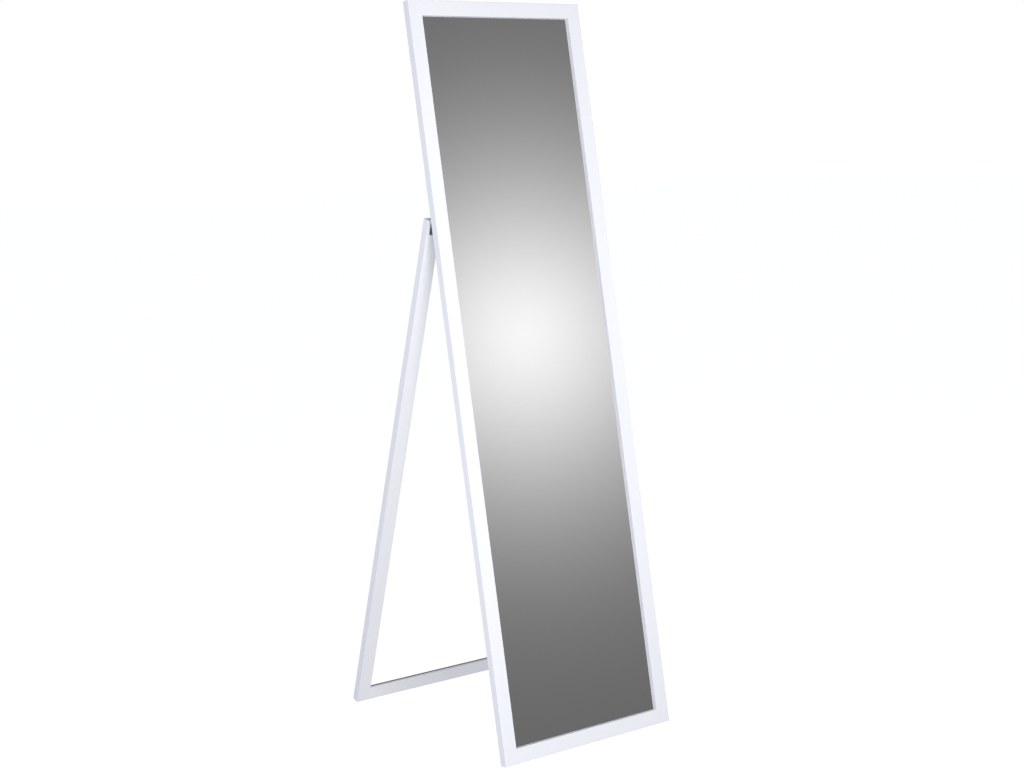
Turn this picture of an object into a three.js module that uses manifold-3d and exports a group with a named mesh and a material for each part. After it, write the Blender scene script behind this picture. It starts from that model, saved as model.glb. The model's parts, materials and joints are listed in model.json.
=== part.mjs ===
// A floor mirror: a tall framed looking glass that leans back on a hinged rear leg frame.
// Millimetres, +Z up. The mirror faces -Y and X runs across it.
// The origin is on the floor, midway between the front and the back of the open mirror's footprint.
import * as THREE from 'three';
import { mergeVertices } from 'three/addons/utils/BufferGeometryUtils.js';
import Module from 'manifold-3d';

const wasm = await Module();
wasm.setup();

// ---------------------------------------------------------------- driving dimensions

const WIDTH = 450; // both frames, outside
const HEIGHT = 1600; // mirror frame, outside
const LEAN = THREE.MathUtils.degToRad(9.57); // mirror from upright
const SPREAD = THREE.MathUtils.degToRad(27.73); // opening between the mirror and the leg frame
const GAP = 0.3; // clearance between pieces that touch

const BAR_WIDTH = 32; // face of the moulding
const BAR_DEPTH = 19; // thickness of the board it is cut from
const ARRIS = 0.9; // rounding of the painted edges
const REBATE_WIDTH = 8; // step cut in the moulding's inner back edge
const MIRROR_LIP = 6; // moulding in front of the glass
const LEG_LIP = 10; // the same part of the leg frame's moulding

const GLASS_THICKNESS = 3;
const BOARD_THICKNESS = 3;
const PANE_CLEARANCE = 1; // between a pane's edge and the wall of the rebate

const KEY_REACH = 6; // corner key, from the mitre to its end
const KEY_END = 3.6; // half its width at the ends
const KEY_WAIST = 1.8; // half its width at the mitre
const KEY_DEPTH = 8;

const POINT_WIDTH = 5; // framer's point, a flat tab that holds the backing board
const POINT_THICKNESS = 0.5;
const POINT_BITE = 6; // driven into the moulding
const POINT_REACH = 7; // left over the board
const STILE_POINTS = 4;
const RAIL_POINTS = 1;

const HINGE_HEIGHT = 1143.6; // pin above the mirror frame's bottom end, along its back
const HINGE_SETBACK = 3.4; // pin from the face of each board
const HINGE_INSET = 6.5; // leaf from the frames' outer edges
const HINGE_LENGTH = 14; // along the pin
const LEAF_THICKNESS = 1.5;
const LEAF_REACH = 33.5; // pin to the far end of a leaf
const LEAF_CORNER = 2.5;
const LEG_DROP = 2.7; // leg frame's top end below the pin
const KNUCKLE_SPLIT = [4.4, 5.2, 4.4]; // frame leaf, leg leaf, frame leaf
const PIN_RADIUS = 1.4;
const PIN_HEAD_RADIUS = 2.3;
const PIN_HEAD_HEIGHT = 0.9;
const STOP_TOP = 14; // frame leaf's stop plate above the pin
const HEEL_REACH = 11.5; // pin to the tip of the leg leaf's heel
const HEEL_THICKNESS = 2.5;

const SCREW_RADIUS = 1.5;
const SCREW_HEAD_RADIUS = 2.8;
const SCREW_LENGTH = 14;
const SCREW_DROPS = [22.5, 30]; // screws below the pin, clear of the leg frame's mitres

const ARC_STEPS = 4; // straight pieces in each quarter-round of the moulding
const ROUND_SIDES = 24; // sides of pins, screws and knuckles

const FINISHES = {
  paint: { color: 0xf4f5f8, roughness: 0.45, metalness: 0 },
  glass: { color: 0xdfe3e4, roughness: 0.03, metalness: 1 },
  board: { color: 0xeeeff0, roughness: 0.6, metalness: 0 },
  hinge: { color: 0x23252c, roughness: 0.5, metalness: 0.6 },
  zinc: { color: 0xb4b7bb, roughness: 0.35, metalness: 1 },
  key: { color: 0xc9c9c6, roughness: 0.6, metalness: 0 },
};

// ---------------------------------------------------------------- geometry helpers

function toManifold(geometry) {
  const bare = geometry.clone();
  bare.deleteAttribute('normal');
  bare.deleteAttribute('uv');
  const merged = mergeVertices(bare, 1e-4);
  const triVerts = new Uint32Array(merged.index.array);
  const vertProperties = merged.attributes.position.array;
  return new wasm.Manifold(new wasm.Mesh({ numProp: 3, vertProperties, triVerts }));
}

function toGeometry(manifold) {
  const { vertProperties, triVerts } = manifold.getMesh();
  const indexed = new THREE.BufferGeometry();
  indexed.setAttribute('position', new THREE.BufferAttribute(vertProperties, 3));
  indexed.setIndex(new THREE.BufferAttribute(triVerts, 1));
  const geometry = indexed.toNonIndexed();
  geometry.computeVertexNormals();
  return geometry;
}

// The union of some geometries, less the tools that cut it.
function build(pieces, tools = []) {
  let body = toManifold(pieces[0]);
  for (const piece of pieces.slice(1)) body = body.add(toManifold(piece));
  for (const tool of tools) body = body.subtract(toManifold(tool));
  return toGeometry(body);
}

function mesh(name, geometry, finish) {
  const made = new THREE.Mesh(geometry, new THREE.MeshStandardMaterial(FINISHES[finish]));
  made.name = name;
  return made;
}

function polygon(points) {
  return new THREE.Shape(points.map(([x, y]) => new THREE.Vector2(x, y)));
}

function extrude(shape, depth, curveSegments = ROUND_SIDES) {
  return new THREE.ExtrudeGeometry(shape, { depth, curveSegments, bevelEnabled: false });
}

// An outline drawn in (y, z) and extruded along X, from x to x + length.
function extrudeAcross(shape, x, length) {
  return extrude(shape, length).rotateZ(Math.PI / 2).rotateY(Math.PI / 2).translate(x, 0, 0);
}

// A profile of [radius, height] pairs turned about Y.
function lathe(profile) {
  return new THREE.LatheGeometry(profile.map(([r, y]) => new THREE.Vector2(r, y)), ROUND_SIDES);
}

// ---------------------------------------------------------------- frames

// Section of a moulding: x runs from the outer edge to the inner one, y from the front to the back.
function mouldingSection(lip) {
  const land = BAR_WIDTH - REBATE_WIDTH;
  const quarter = Math.PI / 2;
  const section = new THREE.Shape();
  section.moveTo(ARRIS, 0);
  section.lineTo(BAR_WIDTH - ARRIS, 0);
  section.absarc(BAR_WIDTH - ARRIS, ARRIS, ARRIS, -quarter, 0, false);
  section.lineTo(BAR_WIDTH, lip);
  section.lineTo(land, lip);
  section.lineTo(land, BAR_DEPTH);
  section.lineTo(ARRIS, BAR_DEPTH);
  section.absarc(ARRIS, BAR_DEPTH - ARRIS, ARRIS, quarter, 2 * quarter, false);
  section.lineTo(0, ARRIS);
  section.absarc(ARRIS, ARRIS, ARRIS, 2 * quarter, 3 * quarter, false);
  return section;
}

// A bar with mitred ends. Its z runs along it from the middle; tools are in the same space.
function barGeometry(length, lip, tools) {
  const geometry = extrude(mouldingSection(lip), length, ARC_STEPS).translate(0, 0, -length / 2);
  const position = geometry.attributes.position;
  const relief = GAP / Math.SQRT2;
  for (let i = 0; i < position.count; i++) {
    const reach = length / 2 - relief - position.getX(i);
    position.setZ(i, Math.sign(position.getZ(i)) * reach);
  }
  return build([geometry], tools);
}

// The butterfly key that ties a mitre, lying across it and let into the back of both bars.
function keyGeometry(grow, depth) {
  const reach = KEY_REACH + grow;
  const end = KEY_END + grow;
  const waist = KEY_WAIST + grow;
  const upper = [[-reach, -end], [0, -waist], [reach, -end]];
  const lower = [[reach, end], [0, waist], [-reach, end]];
  return extrude(polygon([...upper, ...lower]), depth).rotateX(-Math.PI / 2);
}

const KEY_CENTRE = (BAR_WIDTH - REBATE_WIDTH) / 2; // from both outer edges
const KEY_SINK = 0.2; // below the back of the frame

function keyPockets(length) {
  return [-1, 1].map((end) =>
    keyGeometry(GAP, KEY_DEPTH + GAP + 1)
      .rotateY((-end * Math.PI) / 4)
      .translate(KEY_CENTRE, BAR_DEPTH - KEY_DEPTH - GAP, end * (length / 2 - KEY_CENTRE)),
  );
}

function cornerKeys(prefix, width, height) {
  const keys = new THREE.Group();
  const depth = KEY_DEPTH - KEY_SINK;
  for (const [vertical, end] of [['bottom', -1], ['top', 1]]) {
    for (const [horizontal, side] of [['left', -1], ['right', 1]]) {
      const key = mesh(`${prefix}_${vertical}_${horizontal}_corner_key`, keyGeometry(0, depth), 'key');
      key.position.set(
        side * (width / 2 - KEY_CENTRE),
        BAR_DEPTH - KEY_DEPTH,
        end < 0 ? KEY_CENTRE : height - KEY_CENTRE,
      );
      key.rotation.y = (side * end * Math.PI) / 4;
      keys.add(key);
    }
  }
  return keys;
}

// Where the framer's points stand along a bar, evenly about its middle.
function pointStations(length, count) {
  const pitch = length / count;
  return Array.from({ length: count }, (_, i) => (i + 0.5) * pitch - length / 2);
}

const POINT_LEVEL = MIRROR_LIP + GLASS_THICKNESS + BOARD_THICKNESS + 3 * GAP; // from the front

function pointSlot(station) {
  const land = BAR_WIDTH - REBATE_WIDTH;
  const depth = POINT_BITE + GAP;
  const slot = new THREE.BoxGeometry(depth + 1, POINT_THICKNESS + 2 * GAP, POINT_WIDTH + 2 * GAP);
  return slot.translate(land - depth / 2 + 0.5, POINT_LEVEL + POINT_THICKNESS / 2, station);
}

function framersPoint(name, station) {
  const land = BAR_WIDTH - REBATE_WIDTH;
  const half = POINT_WIDTH / 2;
  const shoulder = -POINT_BITE / 2;
  const outline = polygon([
    [-POINT_BITE, 0],
    [shoulder, -half],
    [POINT_REACH - 1, -half],
    [POINT_REACH, -half + 1],
    [POINT_REACH, half - 1],
    [POINT_REACH - 1, half],
    [shoulder, half],
  ]);
  const point = mesh(name, extrude(outline, POINT_THICKNESS).rotateX(-Math.PI / 2), 'zinc');
  point.position.set(land, POINT_LEVEL, station);
  return point;
}

function screwHole(x, y, z, direction) {
  const hole = new THREE.CylinderGeometry(SCREW_RADIUS + GAP, SCREW_RADIUS + GAP, SCREW_LENGTH, ROUND_SIDES);
  return hole.translate(x, y + (direction * SCREW_LENGTH) / 2, z);
}

// Four mitred bars round an opening. Front face at y = 0, bottom end at z = 0, X centred.
// holes: where the hinge screws enter both stiles, as heights, the face's y and the way they go in.
function frame(prefix, width, height, lip, points, holes) {
  const group = new THREE.Group();
  const sides = [
    { name: 'left_stile', length: height, turn: 0, at: [-width / 2, 0, height / 2], run: 1 },
    { name: 'right_stile', length: height, turn: Math.PI, at: [width / 2, 0, height / 2], run: -1 },
    { name: 'top_rail', length: width, turn: Math.PI / 2, at: [0, 0, height] },
    { name: 'bottom_rail', length: width, turn: -Math.PI / 2, at: [0, 0, 0] },
  ];
  for (const { name, length, turn, at, run } of sides) {
    const count = run ? points.stile : points.rail;
    const stations = pointStations(length, count);
    const tools = [...keyPockets(length), ...stations.map(pointSlot)];
    if (run) {
      const x = HINGE_INSET + HINGE_LENGTH / 2;
      for (const z of holes.heights) {
        tools.push(screwHole(x, holes.face, run * (z - height / 2), holes.direction));
      }
    }
    const side = new THREE.Group();
    side.position.set(...at);
    side.rotation.y = turn;
    side.add(mesh(`${prefix}_${name}`, barGeometry(length, lip, tools), 'paint'));
    stations.forEach((station, i) => side.add(framersPoint(`${name}_point_${i + 1}`, station)));
    group.add(side);
  }
  group.add(cornerKeys(prefix, width, height));
  return group;
}

// A pane that fills the rebate, its front face at y.
function pane(name, thickness, y, finish) {
  const border = BAR_WIDTH - REBATE_WIDTH + PANE_CLEARANCE;
  const geometry = new THREE.BoxGeometry(WIDTH - 2 * border, thickness, HEIGHT - 2 * border);
  const made = mesh(name, geometry, finish);
  made.position.set(0, y + thickness / 2, HEIGHT / 2);
  return made;
}

// ---------------------------------------------------------------- hinges
// Each hinge is drawn about its pin: the pin along X, a board's face at y = -HINGE_SETBACK.

const KNUCKLE_RADIUS = HINGE_SETBACK - GAP;
const LEAF_TOP = -KNUCKLE_RADIUS - GAP; // where a leaf clears the other leaf's knuckle
const BORE_RADIUS = PIN_RADIUS + GAP;

// A leaf's plate, drawn in (x, z) with two rounded corners and standing on the board.
function leafPlate(top) {
  const half = HINGE_LENGTH / 2;
  const outline = new THREE.Shape();
  outline.moveTo(-half, top);
  outline.lineTo(-half, -LEAF_REACH + LEAF_CORNER);
  outline.absarc(-half + LEAF_CORNER, -LEAF_REACH + LEAF_CORNER, LEAF_CORNER, Math.PI, 1.5 * Math.PI, false);
  outline.absarc(half - LEAF_CORNER, -LEAF_REACH + LEAF_CORNER, LEAF_CORNER, -Math.PI / 2, 0, false);
  outline.lineTo(half, top);
  return extrude(outline, LEAF_THICKNESS, 6)
    .rotateX(Math.PI / 2)
    .translate(0, -KNUCKLE_RADIUS + LEAF_THICKNESS, 0);
}

// A knuckle and the strip of leaf that curls into it, drawn in (y, z).
function knuckle(x, length) {
  const inner = -KNUCKLE_RADIUS + LEAF_THICKNESS;
  const meet = Math.PI + Math.acos(-inner / KNUCKLE_RADIUS);
  const outline = new THREE.Shape();
  outline.moveTo(-KNUCKLE_RADIUS, LEAF_TOP - 1);
  outline.lineTo(inner, LEAF_TOP - 1);
  outline.absarc(0, 0, KNUCKLE_RADIUS, meet, 3 * Math.PI, false);
  return extrudeAcross(outline, x, length);
}

function pinBore() {
  const bore = new THREE.CylinderGeometry(BORE_RADIUS, BORE_RADIUS, HINGE_LENGTH + 2, ROUND_SIDES);
  return bore.rotateZ(Math.PI / 2);
}

// Countersunk holes through a leaf: a straight clearance and a cone that opens away from the board.
function leafScrewHoles() {
  const face = -KNUCKLE_RADIUS + LEAF_THICKNESS;
  const coneDepth = SCREW_HEAD_RADIUS - SCREW_RADIUS;
  return SCREW_DROPS.flatMap((drop) => [
    new THREE.CylinderGeometry(SCREW_RADIUS + GAP, SCREW_RADIUS + GAP, 3 * LEAF_THICKNESS, ROUND_SIDES)
      .translate(0, face - LEAF_THICKNESS, -drop),
    new THREE.CylinderGeometry(SCREW_HEAD_RADIUS + GAP + 1, SCREW_RADIUS + GAP, coneDepth + 1, ROUND_SIDES)
      .translate(0, face + (1 - coneDepth) / 2, -drop),
  ]);
}

// The fixed leaf: a plate with an outer knuckle at each end, and a stop plate above the pin.
function frameLeafGeometry() {
  const half = HINGE_LENGTH / 2;
  const [first, middle, last] = KNUCKLE_SPLIT;
  const stop = new THREE.BoxGeometry(HINGE_LENGTH, LEAF_THICKNESS, STOP_TOP + LEAF_REACH / 2)
    .translate(0, -KNUCKLE_RADIUS + LEAF_THICKNESS / 2, (STOP_TOP - LEAF_REACH / 2) / 2);
  const window = new THREE.BoxGeometry(middle + 2 * GAP, 3 * LEAF_THICKNESS, -2 * LEAF_TOP)
    .translate(-half + first + middle / 2, -KNUCKLE_RADIUS, 0);
  return build(
    [leafPlate(LEAF_TOP), stop, knuckle(-half, first), knuckle(half - last, last)],
    [pinBore(), window, ...leafScrewHoles()],
  );
}

// The heel stands up from the middle knuckle and meets the stop plate when the leg frame is open.
// It is tilted so that its front corner just clears the stop plate's face.
function heel(x, length) {
  const halfThick = HEEL_THICKNESS / 2;
  const landing = KNUCKLE_RADIUS - LEAF_THICKNESS - GAP;
  const tilt = Math.asin((landing - halfThick) / HEEL_REACH);
  const start = BORE_RADIUS + GAP;
  const bar = new THREE.BoxGeometry(length, HEEL_THICKNESS, HEEL_REACH - start)
    .translate(x + length / 2, 0, (HEEL_REACH + start) / 2);
  return bar.rotateX(tilt);
}

// The moving leaf is drawn folded flat beside its board at y = +HINGE_SETBACK.
function legLeafGeometry() {
  const half = HINGE_LENGTH / 2;
  const [first, middle] = KNUCKLE_SPLIT;
  const x = -half + first + GAP;
  const length = middle - 2 * GAP;
  const leaf = build([leafPlate(LEAF_TOP), knuckle(x, length)], leafScrewHoles());
  leaf.rotateZ(Math.PI);
  const openHeel = heel(x, length).rotateX(-SPREAD);
  return build([leaf, openHeel], [pinBore()]);
}

// A pin along X with a domed head at each end.
function pinGeometry() {
  const half = HINGE_LENGTH / 2 + GAP;
  const shoulder = PIN_HEAD_HEIGHT / 2;
  const profile = [
    [0, -half - PIN_HEAD_HEIGHT],
    [PIN_HEAD_RADIUS * 0.7, -half - PIN_HEAD_HEIGHT],
    [PIN_HEAD_RADIUS, -half - shoulder],
    [PIN_HEAD_RADIUS, -half],
    [PIN_RADIUS, -half],
    [PIN_RADIUS, half],
    [PIN_HEAD_RADIUS, half],
    [PIN_HEAD_RADIUS, half + shoulder],
    [PIN_HEAD_RADIUS * 0.7, half + PIN_HEAD_HEIGHT],
    [0, half + PIN_HEAD_HEIGHT],
  ];
  return lathe(profile).rotateZ(Math.PI / 2);
}

// A countersunk screw with a cross recess, head up: its head's face is at y = 0 and it points along -y.
function screwGeometry() {
  const cone = SCREW_HEAD_RADIUS - SCREW_RADIUS;
  const profile = [
    [0, -SCREW_LENGTH],
    [SCREW_RADIUS, -SCREW_LENGTH + 2 * SCREW_RADIUS],
    [SCREW_RADIUS, -cone],
    [SCREW_HEAD_RADIUS, 0],
    [0, 0],
  ];
  const slot = () => new THREE.BoxGeometry(SCREW_HEAD_RADIUS * 1.2, 2, 0.7);
  return build([lathe(profile)], [slot(), slot().rotateY(Math.PI / 2)]);
}

function leafScrews(prefix) {
  const face = -KNUCKLE_RADIUS + LEAF_THICKNESS;
  return SCREW_DROPS.map((drop, i) => {
    const screw = mesh(`${prefix}_screw_${i + 1}`, screwGeometry(), 'zinc');
    screw.position.set(0, face - 0.05, -drop);
    return screw;
  });
}

function hingeX(side) {
  return side * (WIDTH / 2 - HINGE_INSET - HINGE_LENGTH / 2);
}

// The part of a hinge that stays on the mirror frame, pin included.
function fixedHinge(name, side) {
  const group = new THREE.Group();
  group.position.set(hingeX(side), HINGE_SETBACK, HINGE_HEIGHT);
  group.add(mesh(`${name}_hinge_frame_leaf`, frameLeafGeometry(), 'hinge'));
  group.add(mesh(`${name}_hinge_pin`, pinGeometry(), 'zinc'));
  group.add(...leafScrews(`${name}_hinge_frame`));
  return group;
}

// The part of a hinge that swings with the leg frame.
function movingHinge(name, side) {
  const group = new THREE.Group();
  group.position.x = hingeX(side);
  group.add(mesh(`${name}_hinge_leg_leaf`, legLeafGeometry(), 'hinge'));
  const turned = new THREE.Group();
  turned.rotation.z = Math.PI;
  turned.add(...leafScrews(`${name}_hinge_leg`));
  group.add(turned);
  return group;
}

// ---------------------------------------------------------------- assembly

// How far the rounding of an edge lifts it off the floor when its board leans by this angle.
function edgeLift(angle) {
  return ARRIS * (Math.cos(angle) + Math.sin(angle) - 1);
}

const LEG_ANGLE = SPREAD - LEAN; // leg frame from upright
const pinRise = HINGE_HEIGHT * Math.cos(LEAN) - HINGE_SETBACK * Math.sin(LEAN) - edgeLift(LEAN);
const pinRun = HINGE_HEIGHT * Math.sin(LEAN) + HINGE_SETBACK * Math.cos(LEAN);
const footDrop = pinRise + HINGE_SETBACK * Math.sin(LEG_ANGLE) + edgeLift(LEG_ANGLE);
const PIN_TO_FOOT = footDrop / Math.cos(LEG_ANGLE); // along the leg frame

const front = -BAR_DEPTH * Math.cos(LEAN);
const legReach = PIN_TO_FOOT * Math.sin(LEG_ANGLE) + (HINGE_SETBACK + BAR_DEPTH) * Math.cos(LEG_ANGLE);
const back = pinRun + legReach;
const mirrorFootY = -(front + back) / 2;

const SIDES = [['left', -1], ['right', 1]];

// The mirror: its back plane is local y = 0 and its bottom end z = 0.
const mirror = new THREE.Group();
mirror.position.set(0, mirrorFootY, -edgeLift(LEAN));
mirror.rotation.x = -LEAN;
const mirrorHoles = {
  heights: SCREW_DROPS.map((drop) => HINGE_HEIGHT - drop),
  face: BAR_DEPTH,
  direction: -1,
};
const mirrorPoints = { stile: STILE_POINTS, rail: RAIL_POINTS };
const glazedFrame = frame('frame', WIDTH, HEIGHT, MIRROR_LIP, mirrorPoints, mirrorHoles);
glazedFrame.position.y = -BAR_DEPTH;
glazedFrame.add(pane('mirror_glass', GLASS_THICKNESS, MIRROR_LIP + GAP, 'glass'));
const boardY = MIRROR_LIP + GLASS_THICKNESS + 2 * GAP;
glazedFrame.add(pane('backing_board', BOARD_THICKNESS, boardY, 'board'));
mirror.add(glazedFrame);
for (const [name, side] of SIDES) mirror.add(fixedHinge(name, side));

// The leg frame: its group turns about the hinge pins.
const leg = new THREE.Group();
leg.position.set(0, mirrorFootY + pinRun, pinRise);
leg.rotation.x = LEG_ANGLE;
const legHoles = {
  heights: SCREW_DROPS.map((drop) => PIN_TO_FOOT - drop),
  face: 0,
  direction: 1,
};
const legFrame = frame('leg', WIDTH, PIN_TO_FOOT - LEG_DROP, LEG_LIP, { stile: 0, rail: 0 }, legHoles);
legFrame.position.set(0, HINGE_SETBACK, -PIN_TO_FOOT);
leg.add(legFrame);
for (const [name, side] of SIDES) leg.add(movingHinge(name, side));

const floorMirror = new THREE.Group();
floorMirror.add(mirror, leg);

export default floorMirror;
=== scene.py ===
"""A white floor mirror on its folding rear leg frame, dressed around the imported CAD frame."""

import json
import math

import bmesh
import bpy
from mathutils import Matrix, Vector


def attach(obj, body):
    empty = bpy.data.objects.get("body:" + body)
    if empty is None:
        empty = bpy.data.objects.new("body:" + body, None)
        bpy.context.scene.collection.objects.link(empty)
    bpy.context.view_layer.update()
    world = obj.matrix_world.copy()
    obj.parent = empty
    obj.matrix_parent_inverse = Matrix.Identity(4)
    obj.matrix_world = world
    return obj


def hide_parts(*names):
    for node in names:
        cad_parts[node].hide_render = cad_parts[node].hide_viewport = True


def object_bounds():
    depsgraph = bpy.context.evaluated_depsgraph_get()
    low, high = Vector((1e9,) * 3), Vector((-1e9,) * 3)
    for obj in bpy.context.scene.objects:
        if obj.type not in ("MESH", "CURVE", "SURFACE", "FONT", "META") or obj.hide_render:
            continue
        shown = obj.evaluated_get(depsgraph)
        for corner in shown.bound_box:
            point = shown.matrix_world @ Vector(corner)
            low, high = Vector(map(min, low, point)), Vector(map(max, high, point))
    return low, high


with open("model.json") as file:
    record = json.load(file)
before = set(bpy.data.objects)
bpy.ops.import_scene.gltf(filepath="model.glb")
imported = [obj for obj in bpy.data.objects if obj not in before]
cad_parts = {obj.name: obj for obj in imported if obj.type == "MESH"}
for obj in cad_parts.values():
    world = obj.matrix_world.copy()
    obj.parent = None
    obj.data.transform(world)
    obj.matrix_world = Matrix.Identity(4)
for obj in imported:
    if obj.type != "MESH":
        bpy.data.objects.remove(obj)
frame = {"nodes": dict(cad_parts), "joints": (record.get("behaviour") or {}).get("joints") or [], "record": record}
cad_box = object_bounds()

# ------------------------------------------------------------------ sizes, in metres

MM = 0.001
FRAME_HEIGHT = 1600 * MM
BAR_WIDTH = 32 * MM
BAR_DEPTH = 19 * MM
REBATE_WIDTH = 8 * MM
MIRROR_LIP = 6 * MM  # moulding in front of the glass
LEG_LIP = 10 * MM
ARRIS = 0.9 * MM
ARRIS_STEPS = 6
CHAMFER = 0.3 * MM  # on the bare inner corners
LACQUER_RETURN = 5 * MM  # lacquer carried round on to the leg frame's sight edge
LACQUER_STEP = 0.1 * MM  # the bare board lies this much lower
MITRE_LINE = 0.02 * MM  # half of the hairline at a mitre
RING_PITCH = 80 * MM  # between the rings of points along a bar
RING_MARGIN = 5 * MM  # from a mitre's inner corner to the nearest ring
SMOOTH_UP_TO = 35  # degrees between faces that shade as one
SOFTEN_FROM = 28  # degrees between faces of the hardware that are rounded off
MERGE_DISTANCE = 0.002 * MM

HINGE_HEIGHT = 1143.6 * MM  # the pin above the mirror frame's bottom end, along the frame
HINGE_SETBACK = 3.4 * MM  # from the pin to the face of each frame that looks at the other
LEG_DROP = 2.7 * MM  # leg frame's top end below the pin

# A corner key is a butterfly: half its length, and half its width at the ends and at the waist.
KEY_REACH = 6 * MM
KEY_END = 3.6 * MM
KEY_WAIST = 1.8 * MM
KEY_DEPTH = 8 * MM
KEY_PLAY = 0.12 * MM

PANE_CLEARANCE = 1 * MM
GLASS_THICKNESS = 3 * MM
GLASS_SEAT = 0.1 * MM  # hairline between the lip and the glass
BOARD_THICKNESS = 3 * MM
CAD_GAP = 0.3 * MM  # before and behind the glass in the CAD

# ------------------------------------------------------------------ the CAD's own axes

record = frame["record"]
mounts = {mount["name"]: mount for mount in record["mounts"]}
hinge = frame["joints"][0]
pin = Vector(hinge["pos_m"])
width = cad_box[1].x - cad_box[0].x
across = Vector((1, 0, 0))


def board_frame(up, origin):
    """A matrix whose z runs up a tilted frame, y through it to the back, and x across it."""
    back = up.cross(across)
    turn = Matrix((across, back, up)).transposed().to_4x4()
    return Matrix.Translation(origin) @ turn


mirror_up = -Vector(mounts["mirror_foot"]["axis"]).normalized()
leg_up = -Vector(mounts["leg_foot"]["axis"]).normalized()
mirror_back = mirror_up.cross(across)
leg_back = leg_up.cross(across)
pin_to_foot = (pin - Vector(mounts["leg_foot"]["pos_m"])).dot(leg_up)

# Both frames' origins: the bottom end of the front face, in the middle.
mirror_at = board_frame(
    mirror_up, pin - mirror_up * HINGE_HEIGHT - mirror_back * (HINGE_SETBACK + BAR_DEPTH)
)
leg_at = board_frame(leg_up, pin - leg_up * pin_to_foot + leg_back * HINGE_SETBACK)

# ------------------------------------------------------------------ material nodes


class Surface:
    """A Principled material and short ways of adding the nodes that vary it."""

    def __init__(self, name, metallic=0.0, specular=0.5):
        self.material = bpy.data.materials.new(name)
        self.material.use_nodes = True
        self.tree = self.material.node_tree
        self.shader = self.tree.nodes["Principled BSDF"]
        self.shader.inputs["Metallic"].default_value = metallic
        self.shader.inputs["Specular IOR Level"].default_value = specular
        own_axes = self.add("ShaderNodeAttribute", attribute_name="own_axes")
        self.coordinates = own_axes.outputs["Vector"]

    def add(self, kind, **settings):
        """A new node with its own settings."""
        made = self.tree.nodes.new(kind)
        for key, value in settings.items():
            setattr(made, key, value)
        return made

    def link(self, source, target):
        """Feeds an input from a number, a colour or another node."""
        if isinstance(source, (int, float)):
            target.default_value = source
        elif isinstance(source, tuple):
            target.default_value = (*source, 1)
        else:
            self.tree.links.new(source, target)

    def noise(self, scale, detail=2.0, stretch=(1, 1, 1), roughness=0.5):
        """Noise over the piece's own axes; a stretch below 1 draws it out along that axis."""
        mapping = self.add("ShaderNodeMapping")
        mapping.inputs["Scale"].default_value = stretch
        self.link(self.coordinates, mapping.inputs["Vector"])
        texture = self.add("ShaderNodeTexNoise")
        texture.inputs["Scale"].default_value = scale
        texture.inputs["Detail"].default_value = detail
        texture.inputs["Roughness"].default_value = roughness
        self.link(mapping.outputs["Vector"], texture.inputs["Vector"])
        return texture.outputs["Fac"]

    def ramp(self, factor, low, high, start=0.35, end=0.65):
        """A colour between two, as a factor goes from start to end."""
        ramp = self.add("ShaderNodeValToRGB")
        ramp.color_ramp.elements[0].position = start
        ramp.color_ramp.elements[0].color = (*low, 1)
        ramp.color_ramp.elements[1].position = end
        ramp.color_ramp.elements[1].color = (*high, 1)
        self.link(factor, ramp.inputs["Fac"])
        return ramp.outputs["Color"]

    def spread(self, factor, low, high, start=0.35, end=0.65):
        """A number between two, as a factor goes from start to end."""
        spread = self.add("ShaderNodeMapRange")
        spread.inputs["From Min"].default_value = start
        spread.inputs["From Max"].default_value = end
        spread.inputs["To Min"].default_value = low
        spread.inputs["To Max"].default_value = high
        self.link(factor, spread.inputs["Value"])
        return spread.outputs["Result"]

    def maths(self, operation, first, second):
        made = self.add("ShaderNodeMath", operation=operation)
        self.link(first, made.inputs[0])
        self.link(second, made.inputs[1])
        return made.outputs["Value"]

    def blend(self, factor, first, second, mode="MIX"):
        made = self.add("ShaderNodeMix", data_type="RGBA", blend_type=mode)
        self.link(factor, made.inputs["Factor"])
        self.link(first, made.inputs["A"])
        self.link(second, made.inputs["B"])
        return made.outputs["Result"]

    def blend_value(self, factor, first, second):
        made = self.add("ShaderNodeMix", data_type="FLOAT")
        self.link(factor, made.inputs["Factor"])
        self.link(first, made.inputs["A"])
        self.link(second, made.inputs["B"])
        return made.outputs["Result"]

    def attribute(self, name):
        """A number kept on the mesh, such as how far a face is worn or bare."""
        return self.add("ShaderNodeAttribute", attribute_name=name).outputs["Fac"]

    def bump(self, height, depth, strength):
        made = self.add("ShaderNodeBump")
        made.inputs["Distance"].default_value = depth
        self.link(strength, made.inputs["Strength"])
        self.link(height, made.inputs["Height"])
        return made.outputs["Normal"]

    def finish(self, color, roughness, normal=None):
        self.link(color, self.shader.inputs["Base Color"])
        self.link(roughness, self.shader.inputs["Roughness"])
        if normal is not None:
            self.link(normal, self.shader.inputs["Normal"])
        return self.material


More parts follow.
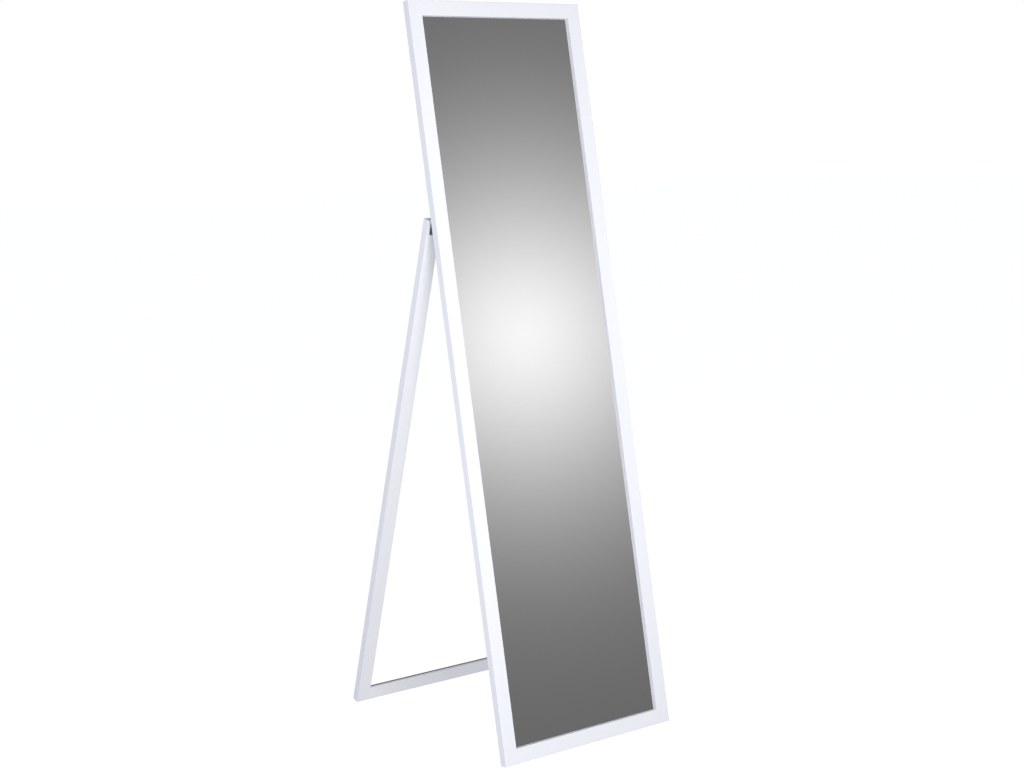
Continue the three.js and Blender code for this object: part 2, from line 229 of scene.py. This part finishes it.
def white_lacquer():
    """Satin white lacquer on the moulding, with bare grey-brown board where it stops; its rounded edges are
    darkened in patches, partly by wear and partly by painted shade.
    """
    look = Surface("white_lacquer", specular=0.4)
    cloud = look.noise(14, 3, (1, 1, 0.12))
    grain = look.noise(700, 3)
    peel = look.noise(420, 2)
    white = look.ramp(cloud, (0.838, 0.842, 0.857), (0.85, 0.854, 0.869))
    speck = look.ramp(grain, (0.985, 0.985, 0.985), (1, 1, 1))
    tinted = look.blend(1, white, speck, "MULTIPLY")
    # The rounded edges darken towards a bluish grey in patches: partly wear, partly painted shade on the arrises.
    wear_and_shade_amount = look.spread(look.noise(60, 4), 0.1, 0.55, 0.4, 0.7)
    worn = look.maths("MULTIPLY", look.attribute("edge"), wear_and_shade_amount)
    lacquer = look.blend(worn, tinted, (0.7, 0.71, 0.74))
    fibre = look.noise(520, 5, (1, 1, 0.35), 0.7)
    board = look.ramp(fibre, (0.15, 0.13, 0.112), (0.3, 0.262, 0.225), 0.3, 0.7)
    raw = look.attribute("raw")
    sheen = look.spread(look.noise(45, 3, (1, 1, 0.12)), 0.38, 0.45)
    dull = look.spread(fibre, 0.78, 0.95)
    height = look.blend_value(raw, peel, fibre)
    relief = look.blend_value(raw, 0.25, 1.0)
    color = look.blend(raw, lacquer, board)
    return look.finish(color, look.blend_value(raw, sheen, dull), look.bump(height, 0.1 * MM, relief))


def silvered_glass():
    """Clean silvered glass: a mirror with a trace of dust and wiping marks in its gloss."""
    look = Surface("silvered_glass", metallic=1.0)
    wipe = look.noise(3, 4, (1, 1, 0.2), 0.6)
    dust = look.noise(900, 2)
    color = look.ramp(wipe, (0.962, 0.955, 0.957), (0.975, 0.968, 0.97))
    haze = look.spread(wipe, 0.012, 0.03)
    specks = look.spread(dust, 0.0, 0.05, 0.72, 0.8)
    return look.finish(color, look.maths("ADD", haze, specks))


def faced_board():
    """Thin fibreboard with a plain white facing, and bare brown fibre at its edges."""
    look = Surface("faced_board", specular=0.35)
    fibre = look.noise(260, 6, (1, 1, 0.5), 0.7)
    cloud = look.noise(6, 4)
    peel = look.noise(650, 3)
    facing = look.ramp(cloud, (0.775, 0.775, 0.77), (0.815, 0.815, 0.81))
    brown = look.ramp(fibre, (0.17, 0.092, 0.045), (0.3, 0.178, 0.095), 0.3, 0.7)
    scuff = look.spread(look.noise(90, 5, (1, 1, 0.15), 0.65), 0.0, 0.35, 0.6, 0.75)
    scuffed = look.blend(scuff, facing, (0.66, 0.65, 0.63))
    raw = look.attribute("raw")
    height = look.blend_value(raw, peel, fibre)
    roughness = look.blend_value(raw, look.spread(cloud, 0.5, 0.62), 0.9)
    return look.finish(look.blend(raw, scuffed, brown), roughness, look.bump(height, 0.08 * MM, 0.5))


def coated_steel():
    """Black satin coating on the hinge leaves, rubbed bright along its edges."""
    look = Surface("black_coated_steel", specular=0.5)
    cloud = look.noise(220, 4)
    grain = look.noise(2600, 2)
    black = look.ramp(cloud, (0.05, 0.052, 0.064), (0.085, 0.088, 0.105))
    worn = look.maths("MULTIPLY", look.attribute("edge"), look.spread(cloud, 0.0, 0.9, 0.42, 0.62))
    color = look.blend(worn, black, (0.42, 0.42, 0.44))
    roughness = look.spread(look.noise(500, 3), 0.38, 0.58)
    return look.finish(color, roughness, look.bump(grain, 0.05 * MM, 0.35))


def bright_steel(name, light, dark):
    """Plated steel with fine turning marks, dull patches and a painted highlight on its rounded edges."""
    look = Surface(name, metallic=1.0)
    cloud = look.noise(300, 4)
    marks = look.noise(1500, 3, (1, 1, 6))
    color = look.ramp(cloud, dark, light)
    # The rounded edges are painted lighter: a painted highlight.
    painted_highlight_rim = look.blend(look.maths("MULTIPLY", look.attribute("edge"), 0.5), color, (0.8, 0.8, 0.82))
    return look.finish(painted_highlight_rim, look.spread(marks, 0.24, 0.46), look.bump(marks, 0.03 * MM, 0.3))


def moulded_plastic():
    """Grey plastic of the corner keys, with a fine spark-eroded texture."""
    look = Surface("moulded_plastic", specular=0.45)
    grain = look.noise(1800, 3)
    color = look.ramp(look.noise(150, 3), (0.5, 0.5, 0.48), (0.6, 0.6, 0.575))
    lit = look.blend(look.maths("MULTIPLY", look.attribute("edge"), 0.35), color, (0.72, 0.72, 0.7))
    return look.finish(lit, look.spread(grain, 0.42, 0.6), look.bump(grain, 0.05 * MM, 0.4))


lacquer = white_lacquer()
silvering = silvered_glass()
facing = faced_board()
hinge_coat = coated_steel()
zinc = bright_steel("zinc_plate", (0.66, 0.67, 0.69), (0.48, 0.49, 0.51))
spring_steel = bright_steel("spring_steel", (0.5, 0.5, 0.51), (0.34, 0.34, 0.35))
plastic = moulded_plastic()

# ------------------------------------------------------------------ mesh helpers


def place(name, mesh, matrix, body, material, nodes):
    """Adds a mesh as a piece that rides on a body and stands for its CAD nodes.

    The materials follow the piece's own axes, which own_axes keeps for them.
    """
    own_axes = mesh.attributes.new("own_axes", "FLOAT_VECTOR", "POINT")
    own_axes.data.foreach_set("vector", [c for vert in mesh.vertices for c in vert.co])
    mesh.transform(matrix)
    piece = bpy.data.objects.new(name, mesh)
    bpy.context.scene.collection.objects.link(piece)
    mesh.materials.clear()
    mesh.materials.append(material)
    mesh.shade_smooth()
    mesh.set_sharp_from_angle(angle=math.radians(SMOOTH_UP_TO))
    weighted = piece.modifiers.new("weighted_normals", "WEIGHTED_NORMAL")
    weighted.keep_sharp = True
    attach(piece, body)
    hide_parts(*nodes)


def soften(bm, is_sharp, bevel):
    """Rounds the edges that a test picks, and marks the new faces for the wear and the painted edge highlights in
    the materials.
    """
    edge_layer = bm.faces.layers.float.new("edge")
    sharp = [e for e in bm.edges if is_sharp(e)]
    made = bmesh.ops.bevel(
        bm, geom=sharp, offset=bevel, segments=2, profile=0.5, affect="EDGES", clamp_overlap=True
    )
    for face in made["faces"]:
        face[edge_layer] = 1


def arris(x, y, start, raw=(0, 0)):
    """A rounded corner of a bar's outline about (x, y), a quarter turn on from an angle in degrees.

    Its wear and painted shade are strongest at its middle; raw tells whether its first and second halves are bare.
    """
    points = []
    for i in range(ARRIS_STEPS + 1):
        along = i / ARRIS_STEPS
        angle = math.radians(start + 90 * along)
        spot = (x + ARRIS * math.cos(angle), y + ARRIS * math.sin(angle))
        points.append((*spot, math.sin(math.pi * along), raw[0] if along < 0.5 else raw[1]))
    return points


def moulding_section(lip):
    """Outline of a bar as (x, y, edge, raw): x from the outer edge, y from the front.

    edge marks the rounded arrises, and raw marks a point after which the board is bare.
    """
    land = BAR_WIDTH - REBATE_WIDTH
    inner = BAR_WIDTH - LACQUER_STEP
    outline = arris(ARRIS, ARRIS, 180)
    outline += arris(BAR_WIDTH - ARRIS, ARRIS, 270)
    if lip > MIRROR_LIP:
        outline += [(BAR_WIDTH, LACQUER_RETURN, 0, 1), (inner, LACQUER_RETURN, 0, 1)]
        outline += [(inner, lip - CHAMFER, 0, 1), (inner - CHAMFER, lip, 0, 1)]
    else:
        outline += [(BAR_WIDTH, lip - LACQUER_STEP, 0, 0), (inner, lip, 0, 1)]
    outline += [(land, lip, 0, 1)]
    outline += [(land, BAR_DEPTH - CHAMFER, 0, 1), (land - CHAMFER, BAR_DEPTH, 0, 0)]
    return outline + arris(ARRIS, BAR_DEPTH - ARRIS, 90, (1, 0))


def bar_mesh(name, length, lip):
    """A mitred bar along z, centred on its middle."""
    outline = moulding_section(lip)
    straight = length / 2 - BAR_WIDTH - RING_MARGIN
    steps = max(1, round(2 * straight / RING_PITCH))
    stations = [straight * (2 * i / steps - 1) for i in range(steps + 1)]
    bm = bmesh.new()
    edge_layer = bm.verts.layers.float.new("edge")
    raw_layer = bm.faces.layers.float.new("raw")
    rings = []
    for station in [None, *stations, None]:
        side = -1 if not rings else 1
        ring = []
        for x, y, edge, _ in outline:
            z = station if station is not None else side * (length / 2 - MITRE_LINE - x)
            vert = bm.verts.new((x, y, z))
            vert[edge_layer] = edge
            ring.append(vert)
        rings.append(ring)
    count = len(outline)
    for low, high in zip(rings, rings[1:]):
        for i in range(count):
            j = (i + 1) % count
            face = bm.faces.new((low[i], low[j], high[j], high[i]))
            face[raw_layer] = outline[i][3]
    for ring in (rings[0][::-1], rings[-1]):
        cap = bm.faces.new(ring)
        cap[raw_layer] = 1
    bmesh.ops.recalc_face_normals(bm, faces=bm.faces)
    mesh = bpy.data.meshes.new(name)
    bm.to_mesh(mesh)
    bm.free()
    return mesh


def key_cutter(length, end):
    """A butterfly pocket across one of a bar's mitres, in the bar's own space."""
    reach, wide, waist = KEY_REACH + KEY_PLAY, KEY_END + KEY_PLAY, KEY_WAIST + KEY_PLAY
    outline = [(-reach, -wide), (0, -waist), (reach, -wide), (reach, wide), (0, waist), (-reach, wide)]
    centre = (BAR_WIDTH - REBATE_WIDTH) / 2
    turn = Matrix.Rotation(-end * math.pi / 4, 4, "Y")
    spot = Matrix.Translation((centre, 0, end * (length / 2 - centre)))
    bm = bmesh.new()
    levels = (BAR_DEPTH - KEY_DEPTH - KEY_PLAY, BAR_DEPTH + KEY_DEPTH)
    rings = [[bm.verts.new(spot @ turn @ Vector((x, y, z))) for x, z in outline] for y in levels]
    for i in range(len(outline)):
        j = (i + 1) % len(outline)
        bm.faces.new((rings[0][i], rings[0][j], rings[1][j], rings[1][i]))
    bm.faces.new(rings[0][::-1])
    bm.faces.new(rings[1])
    bmesh.ops.recalc_face_normals(bm, faces=bm.faces)
    mesh = bpy.data.meshes.new("key_cutter")
    bm.to_mesh(mesh)
    bm.free()
    return mesh


def cut(mesh, cutters):
    """The mesh less the cutters, all in one space."""
    collection = bpy.context.scene.collection
    body = bpy.data.objects.new("cut_body", mesh)
    collection.objects.link(body)
    tools = []
    for cutter in cutters:
        tool = bpy.data.objects.new("cut_tool", cutter)
        collection.objects.link(tool)
        tools.append(tool)
        boolean = body.modifiers.new("pocket", "BOOLEAN")
        boolean.operation = "DIFFERENCE"
        boolean.solver = "EXACT"
        boolean.object = tool
    graph = bpy.context.evaluated_depsgraph_get()
    result = bpy.data.meshes.new_from_object(body.evaluated_get(graph))
    for scrap in [body, *tools]:
        bpy.data.objects.remove(scrap)
    return result


# ------------------------------------------------------------------ frames


def build_frame(prefix, height, lip, at, body):
    """Four mitred bars in the places of the CAD's."""
    half = math.pi / 2
    sides = [
        ("left_stile", height, 0, (-width / 2, 0, height / 2)),
        ("right_stile", height, 2 * half, (width / 2, 0, height / 2)),
        ("top_rail", width, half, (0, 0, height)),
        ("bottom_rail", width, -half, (0, 0, 0)),
    ]
    for side, length, turn, corner in sides:
        node = f"{prefix}_{side}"
        bar = cut(bar_mesh(node, length, lip), [key_cutter(length, end) for end in (-1, 1)])
        matrix = at @ Matrix.Translation(corner) @ Matrix.Rotation(turn, 4, "Y")
        place(f"{node}_moulding", bar, matrix, body, lacquer, [node])


build_frame("frame", FRAME_HEIGHT, MIRROR_LIP, mirror_at, "mirror")
build_frame("leg", pin_to_foot - LEG_DROP, LEG_LIP, leg_at, "leg")

# ------------------------------------------------------------------ panes


def pane_mesh(name, thickness, bevel):
    """A sheet that fills the rebate, with worked edges."""
    border = BAR_WIDTH - REBATE_WIDTH + PANE_CLEARANCE
    bm = bmesh.new()
    bmesh.ops.create_cube(bm, size=1)
    size = (width - 2 * border, thickness, FRAME_HEIGHT - 2 * border)
    bmesh.ops.scale(bm, vec=size, verts=bm.verts)
    raw_layer = bm.faces.layers.float.new("raw")
    for face in bm.faces:
        face[raw_layer] = 0 if abs(face.normal.y) > 0.5 else 1
    soften(bm, lambda edge: True, bevel)
    mesh = bpy.data.meshes.new(name)
    bm.to_mesh(mesh)
    bm.free()
    return mesh


def add_pane(name, node, thickness, front, bevel, material):
    middle = Matrix.Translation((0, front + thickness / 2, FRAME_HEIGHT / 2))
    mesh = pane_mesh(name, thickness, bevel)
    place(name, mesh, mirror_at @ middle, "mirror", material, [node])


glass_front = MIRROR_LIP + GLASS_SEAT
board_front = MIRROR_LIP + GLASS_THICKNESS + 2 * CAD_GAP
add_pane("looking_glass", "mirror_glass", GLASS_THICKNESS, glass_front, 0.5 * MM, silvering)
add_pane("back_panel", "backing_board", BOARD_THICKNESS, board_front, 0.25 * MM, facing)

# ------------------------------------------------------------------ hardware


def refined(node, bevel, body, material):
    """A CAD node's shape with merged faces and softened, marked edges."""
    bm = bmesh.new()
    bm.from_mesh(frame["nodes"][node].data)
    bmesh.ops.remove_doubles(bm, verts=bm.verts, dist=MERGE_DISTANCE)
    bmesh.ops.dissolve_limit(bm, angle_limit=math.radians(1), verts=bm.verts, edges=bm.edges)
    soften(bm, lambda edge: edge.calc_face_angle(0) > math.radians(SOFTEN_FROM), bevel)
    mesh = bpy.data.meshes.new(f"{node}_fine")
    bm.to_mesh(mesh)
    bm.free()
    place(f"{node}_fine", mesh, Matrix.Identity(4), body, material, [node])


# A word in the CAD node's name: the bevel, slot and material of its pieces.
HARDWARE = {
    "corner_key": (0.2 * MM, "key_plastic", plastic),
    "point": (0.08 * MM, "point_steel", spring_steel),
    "leaf": (0.18 * MM, "hinge_black", hinge_coat),
    "pin": (0.1 * MM, "zinc_steel", zinc),
    "screw": (0.08 * MM, "zinc_steel", zinc),
}

bodies = record["behaviour"]["bodies"]
for body, nodes in bodies.items():
    for node in nodes:
        kind = next((k for k in HARDWARE if k in node), None)
        if kind is not None:
            bevel, slot, material = HARDWARE[kind]
            refined(node, bevel, body, material)

# ------------------------------------------------------------------ studio

FLOOR_HALF = 40
FLOOR_GLOW = 0.85
CAMERA_AT = (-2.2759, -3.14697, 1.28315)
CAMERA_TURN = (82.193, 1.6447, -36.583)  # degrees about X, Y and Z
CAMERA_LENS = 62.06  # mm, on a 36 mm wide sensor

LEFT_FILL = (0.75, 0.785, 0.96)  # soft light from the left, falling off round to the right
RIGHT_FILL = (0.25, 0.26, 0.32)
FLOOR_BOUNCE = (0.715, 0.72, 0.745)
GLOW_AZIMUTH = 37.1  # degrees to the right of the direction that the mirror faces
GLOW_ELEVATION = 9.15
GLOW_RADIUS = 5.25  # degrees from the middle to where the glow is down to 1/e
GLOW_FALL = 1.63  # power of the distance in the glow's exponent
GLOW_PEAK = 0.83  # over GLOW_FLOOR, the grey between the glows
GLOW_FLOOR = 0.135
GLOW_PITCH = 36  # degrees from one glow to the next, round the studio

# Soft boxes: name, place, what each is aimed at, width and height, watts, colour.
SOFT_BOXES = [
    ("key", (-0.8, -2.3, 1.22), (0, -0.15, 0.9), (0.84, 0.84), 23, (1, 0.99, 0.96)),
    ("left", (-1.4, -1.35, 0.85), (-0.2, 0.0, 0.8), (0.8, 0.8), 9.5, (0.95, 0.98, 1.05)),
    ("right", (1.02, -1.5, 1.2), (0, -0.15, 1.0), (0.4, 0.4), 5.2, (1, 0.99, 0.96)),
]


def add_floor():
    """A plain white floor with a glow of its own, so that almost no shadow shows on it."""
    bm = bmesh.new()
    corners = [(-1, -1), (1, -1), (1, 1), (-1, 1)]
    bm.faces.new([bm.verts.new((x * FLOOR_HALF, y * FLOOR_HALF, 0)) for x, y in corners])
    mesh = bpy.data.meshes.new("floor")
    bm.to_mesh(mesh)
    bm.free()
    floor = bpy.data.objects.new("floor", mesh)
    bpy.context.scene.collection.objects.link(floor)
    look = Surface("white_studio_floor", specular=0.1)
    pale = look.ramp(look.noise(2, 2), (0.34, 0.34, 0.345), (0.36, 0.36, 0.365))
    look.shader.inputs["Emission Color"].default_value = (1, 1, 1, 1)
    look.shader.inputs["Emission Strength"].default_value = FLOOR_GLOW
    mesh.materials.append(look.finish(pale, look.spread(look.noise(20, 2), 0.85, 0.95)))
    floor.visible_glossy = False
    floor.visible_diffuse = False  # the world's lower half stands for its bounce


def add_soft_box(name, at, aim, size, power, color):
    """A rectangular light that neither the camera nor the glass sees."""
    light = bpy.data.lights.new(name, "AREA")
    light.shape = "RECTANGLE"
    light.size, light.size_y = size
    light.energy = power
    light.color = color
    lamp = bpy.data.objects.new(name, light)
    bpy.context.scene.collection.objects.link(lamp)
    lamp.location = at
    lamp.rotation_euler = (Vector(aim) - Vector(at)).to_track_quat("-Z", "Y").to_euler()
    lamp.visible_glossy = False
    lamp.visible_camera = False


class WorldNodes:
    """Short ways of writing the world's formula for the studio seen in the looking glass."""

    def __init__(self, tree):
        self.tree = tree

    def maths(self, operation, *values):
        made = self.tree.nodes.new("ShaderNodeMath")
        made.operation = operation
        for socket, value in zip(made.inputs, values):
            if isinstance(value, (int, float)):
                socket.default_value = value
            else:
                self.tree.links.new(value, socket)
        return made.outputs["Value"]

    def blend(self, factor, first, second):
        made = self.tree.nodes.new("ShaderNodeMix")
        made.data_type = "RGBA"
        self.tree.links.new(factor, made.inputs["Factor"])
        for value, socket in ((first, made.inputs["A"]), (second, made.inputs["B"])):
            if isinstance(value, tuple):
                socket.default_value = (*value, 1)
            else:
                self.tree.links.new(value, socket)
        return made.outputs["Result"]


def add_world():
    """White to the camera, a cool soft fill to the surfaces, grey with round glows to reflections."""
    world = bpy.data.worlds.new("studio")
    bpy.context.scene.world = world
    world.use_nodes = True
    tree = world.node_tree
    tree.nodes.clear()
    formula = WorldNodes(tree)
    coordinates = tree.nodes.new("ShaderNodeTexCoord")
    split = tree.nodes.new("ShaderNodeSeparateXYZ")
    tree.links.new(coordinates.outputs["Generated"], split.inputs["Vector"])
    x, y, z = (split.outputs[axis] for axis in "XYZ")
    azimuth = formula.maths("ARCTAN2", x, formula.maths("MULTIPLY", y, -1))
    pitch = math.radians(GLOW_PITCH)
    offset = formula.maths("SUBTRACT", azimuth, math.radians(GLOW_AZIMUTH) - pitch / 2)
    folded = formula.maths("SUBTRACT", formula.maths("FLOORED_MODULO", offset, pitch), pitch / 2)
    rise = formula.maths("SUBTRACT", formula.maths("ARCSINE", z), math.radians(GLOW_ELEVATION))
    folded_squared = formula.maths("MULTIPLY", folded, folded)
    rise_squared = formula.maths("MULTIPLY", rise, rise)
    squares = formula.maths("ADD", folded_squared, rise_squared)
    distance = formula.maths("DIVIDE", formula.maths("SQRT", squares), math.radians(GLOW_RADIUS))
    power = formula.maths("POWER", distance, GLOW_FALL)
    fall = formula.maths("EXPONENT", formula.maths("MULTIPLY", power, -1))
    glow = formula.maths("MULTIPLY_ADD", fall, GLOW_PEAK, GLOW_FLOOR)

    path = tree.nodes.new("ShaderNodeLightPath")
    leftness = formula.maths("POWER", formula.maths("MULTIPLY_ADD", x, -0.5, 0.5), 2)
    sky = formula.blend(leftness, RIGHT_FILL, LEFT_FILL)
    around = formula.blend(formula.maths("LESS_THAN", z, 0), sky, FLOOR_BOUNCE)
    fill = tree.nodes.new("ShaderNodeBackground")
    tree.links.new(around, fill.inputs["Color"])
    seen = tree.nodes.new("ShaderNodeBackground")
    seen.inputs["Color"].default_value = (1, 1, 1, 1)
    mirrored = tree.nodes.new("ShaderNodeBackground")
    tree.links.new(glow, mirrored.inputs["Color"])
    unscattered = formula.maths("LESS_THAN", path.outputs["Diffuse Depth"], 0.5)
    in_mirror = formula.maths("MULTIPLY", path.outputs["Is Glossy Ray"], unscattered)
    base = fill.outputs["Background"]
    for share, shader in ((in_mirror, mirrored), (path.outputs["Is Camera Ray"], seen)):
        mix = tree.nodes.new("ShaderNodeMixShader")
        tree.links.new(share, mix.inputs["Fac"])
        tree.links.new(base, mix.inputs[1])
        tree.links.new(shader.outputs["Background"], mix.inputs[2])
        base = mix.outputs["Shader"]
    output = tree.nodes.new("ShaderNodeOutputWorld")
    tree.links.new(base, output.inputs["Surface"])


def add_camera():
    camera = bpy.data.cameras.new("camera")
    camera.lens = CAMERA_LENS
    camera.sensor_width = 36
    camera.clip_end = 200
    view = bpy.data.objects.new("camera", camera)
    bpy.context.scene.collection.objects.link(view)
    view.location = CAMERA_AT
    view.rotation_euler = [math.radians(a) for a in CAMERA_TURN]
    bpy.context.scene.camera = view


add_floor()
add_world()
for soft_box in SOFT_BOXES:
    add_soft_box(*soft_box)
add_camera()
bpy.context.scene.view_settings.view_transform = "Standard"
